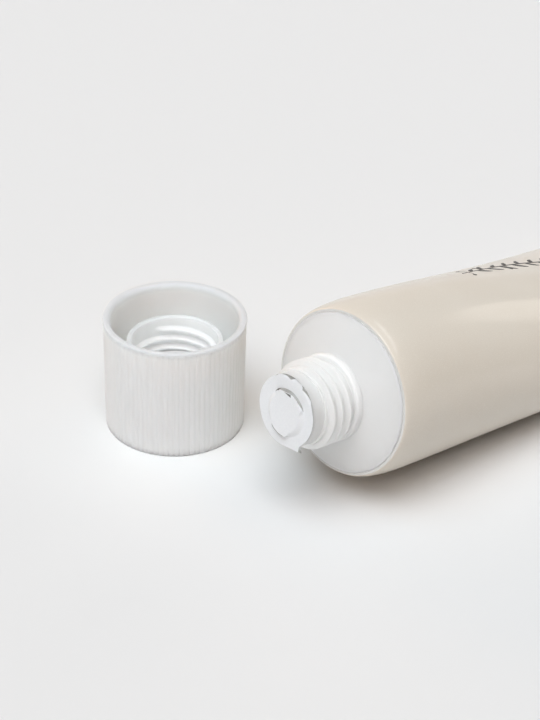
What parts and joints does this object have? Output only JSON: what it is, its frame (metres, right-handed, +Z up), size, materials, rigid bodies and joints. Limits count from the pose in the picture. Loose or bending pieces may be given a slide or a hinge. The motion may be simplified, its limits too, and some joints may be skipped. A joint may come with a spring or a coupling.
{
  "type": "sunscreen squeeze tube",
  "caption": "Cosmetic squeeze tube lying on its side with crimped tail, sealed threaded neck, and its ribbed screw cap standing open end up beside it.",
  "frame": {"origin": "on the table, in the middle of the footprint of tube and cap together", "axes": "+X from the neck towards the crimped tail, +Y from the tube towards the cap, +Z up"},
  "size_m": [0.1632, 0.0806, 0.0379],
  "materials": {
    "sleeve_laminate": "pearly champagne, satin sheen",
    "head_plastic": "moulded white, smooth",
    "cream": "soft cream, hidden inside the tube",
    "foil": "matt lacquered foil, light grey",
    "cap_plastic": "milky translucent, smooth",
    "insert_plastic": "moulded white, smooth",
    "liner_plastic": "soft foamed sealing ring"
  },
  "bodies": {
    "tube": {"tube_sleeve": "sleeve_laminate", "tube_head": "head_plastic", "sunscreen_cream": "cream"},
    "seal": {"seal_disc": "foil"},
    "tab": {"seal_tab": "foil"},
    "liner": {"cap_liner": "liner_plastic"},
    "cap": {"cap_shell": "cap_plastic", "cap_insert": "insert_plastic"}
  },
  "joints": [
    {"name": "seal_peel", "type": "hinge", "parent": "tube", "child": "seal", "pos_m": [-0.07161, -0.00891, 0.02936], "axis": [-0.0801, 0.8387, -0.5387], "range_deg": [0, 170]},
    {"name": "tab_bend", "type": "hinge", "parent": "seal", "child": "tab", "pos_m": [-0.0734, -0.01613, 0.0184], "axis": [-0.0801, 0.8387, -0.5387], "range_deg": [0, 120]},
    {"name": "cap_lift", "type": "slide", "parent": "tube", "child": "liner", "axis": [0, 0, 1], "range_m": [0, 0.06]},
    {"name": "cap_turn", "type": "hinge", "parent": "liner", "child": "cap", "pos_m": [-0.06699, 0.02569, 0], "axis": [0, 0, 1], "continuous": true}
  ]
}
